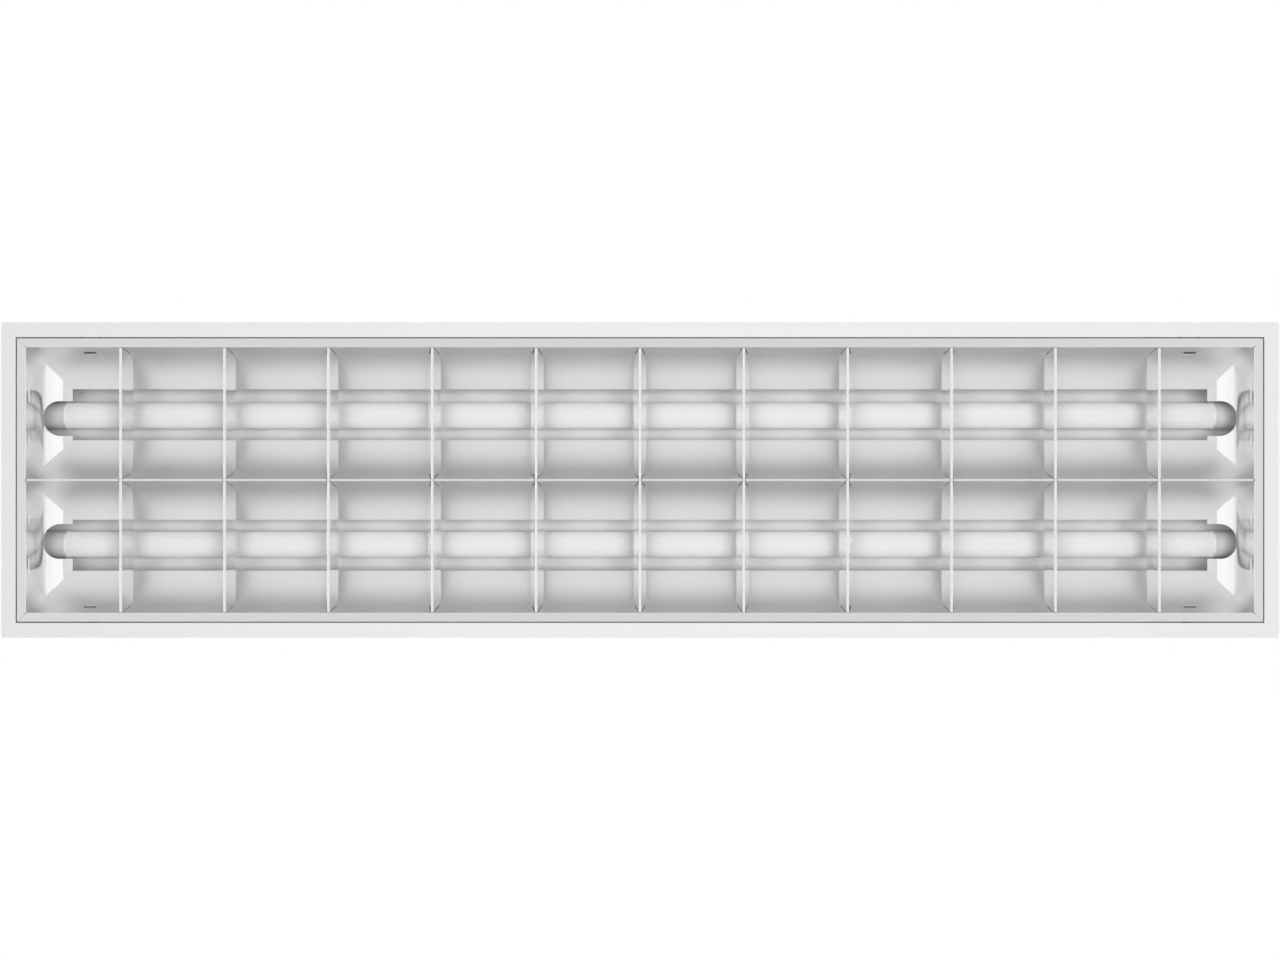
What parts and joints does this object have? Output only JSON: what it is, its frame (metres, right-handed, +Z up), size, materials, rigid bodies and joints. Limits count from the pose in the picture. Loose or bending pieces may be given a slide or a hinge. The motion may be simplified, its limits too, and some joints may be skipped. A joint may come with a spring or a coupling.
{
  "type": "louvred ceiling light",
  "caption": "Long louvred ceiling light: a white steel tray with LED tubes in rotary holders, and a framed aluminium cross-blade louvre that swings down on side hinges.",
  "frame": {"origin": "centre of the flat back, on the face that meets the ceiling", "axes": "+Z up into the ceiling, X along the tubes, Y across them; the louvre hinges on the -Y side and faces -Z"},
  "size_m": [1.235, 0.305, 0.095],
  "materials": {
    "white_steel": "semi-gloss powder coat",
    "satin_aluminium": "satin anodised",
    "mirror_aluminium": "bright anodised",
    "frosted_glass": "frosted, opal inside",
    "cap_plastic": "moulded, fine satin",
    "white_plastic": "moulded polycarbonate",
    "cream_plastic": "moulded nylon",
    "brass": "bare",
    "plated_steel": "zinc plated",
    "spring_steel": "bright spring strip",
    "rubber": "moulded",
    "led_board": "white solder mask",
    "brown_lead": "extruded insulation",
    "blue_lead": "extruded insulation",
    "green_lead": "extruded insulation"
  },
  "bodies": {
    "housing": {"tray": "white_steel", "wiring_cover": "white_steel", "cover_screws": "plated_steel", "terminal_block": "cream_plastic", "terminal_sleeves": "brass", "terminal_screws": "plated_steel", "block_screws": "plated_steel", "cable_bush": "rubber", "earth_screw": "plated_steel", "earth_lug": "brass", "lead_earth": "green_lead", "wire_combs": "cream_plastic", "holder_contacts": "brass", "hinge_pins": "plated_steel", "lead_live_1": "brown_lead", "lead_live_2": "brown_lead", "lead_neutral_1": "blue_lead", "lead_neutral_2": "blue_lead", "lampholder_a1": "white_plastic", "lampholder_a2": "white_plastic", "lampholder_b1": "white_plastic", "lampholder_b2": "white_plastic", "hinge_bracket_left": "plated_steel", "spring_clip_left": "spring_steel", "hinge_bracket_right": "plated_steel", "spring_clip_right": "spring_steel"},
    "tube_1": {"tube_1_glass": "frosted_glass", "tube_1_cap_a": "cap_plastic", "tube_1_cap_b": "cap_plastic", "tube_1_pins": "brass", "tube_1_led_board": "led_board", "tube_1_rotor_a": "white_plastic", "tube_1_rotor_b": "white_plastic"},
    "tube_2": {"tube_2_glass": "frosted_glass", "tube_2_cap_a": "cap_plastic", "tube_2_cap_b": "cap_plastic", "tube_2_pins": "brass", "tube_2_led_board": "led_board", "tube_2_rotor_a": "white_plastic", "tube_2_rotor_b": "white_plastic"},
    "louvre": {"side_reflector_hinge": "satin_aluminium", "side_reflector_clip": "satin_aluminium", "end_reflector_a": "mirror_aluminium", "end_reflector_b": "mirror_aluminium", "centre_reflector": "satin_aluminium", "blade_1": "mirror_aluminium", "blade_2": "mirror_aluminium", "blade_3": "mirror_aluminium", "blade_4": "mirror_aluminium", "blade_5": "mirror_aluminium", "blade_6": "mirror_aluminium", "blade_7": "mirror_aluminium", "blade_8": "mirror_aluminium", "blade_9": "mirror_aluminium", "blade_10": "mirror_aluminium", "blade_11": "mirror_aluminium", "hinge_leaves": "plated_steel", "corner_plates": "plated_steel"}
  },
  "joints": [
    {"name": "louvre_swing", "type": "hinge", "parent": "housing", "child": "louvre", "pos_m": [0, -0.1336, -0.0916], "axis": [-1, 0, 0], "range_deg": [0, 90]},
    {"name": "tube_1_turn", "type": "hinge", "parent": "housing", "child": "tube_1", "pos_m": [0, -0.06465, -0.0286], "axis": [1, 0, 0], "range_deg": [0, 90]},
    {"name": "tube_2_turn", "type": "hinge", "parent": "housing", "child": "tube_2", "pos_m": [0, 0.06465, -0.0286], "axis": [1, 0, 0], "range_deg": [0, 90]}
  ]
}
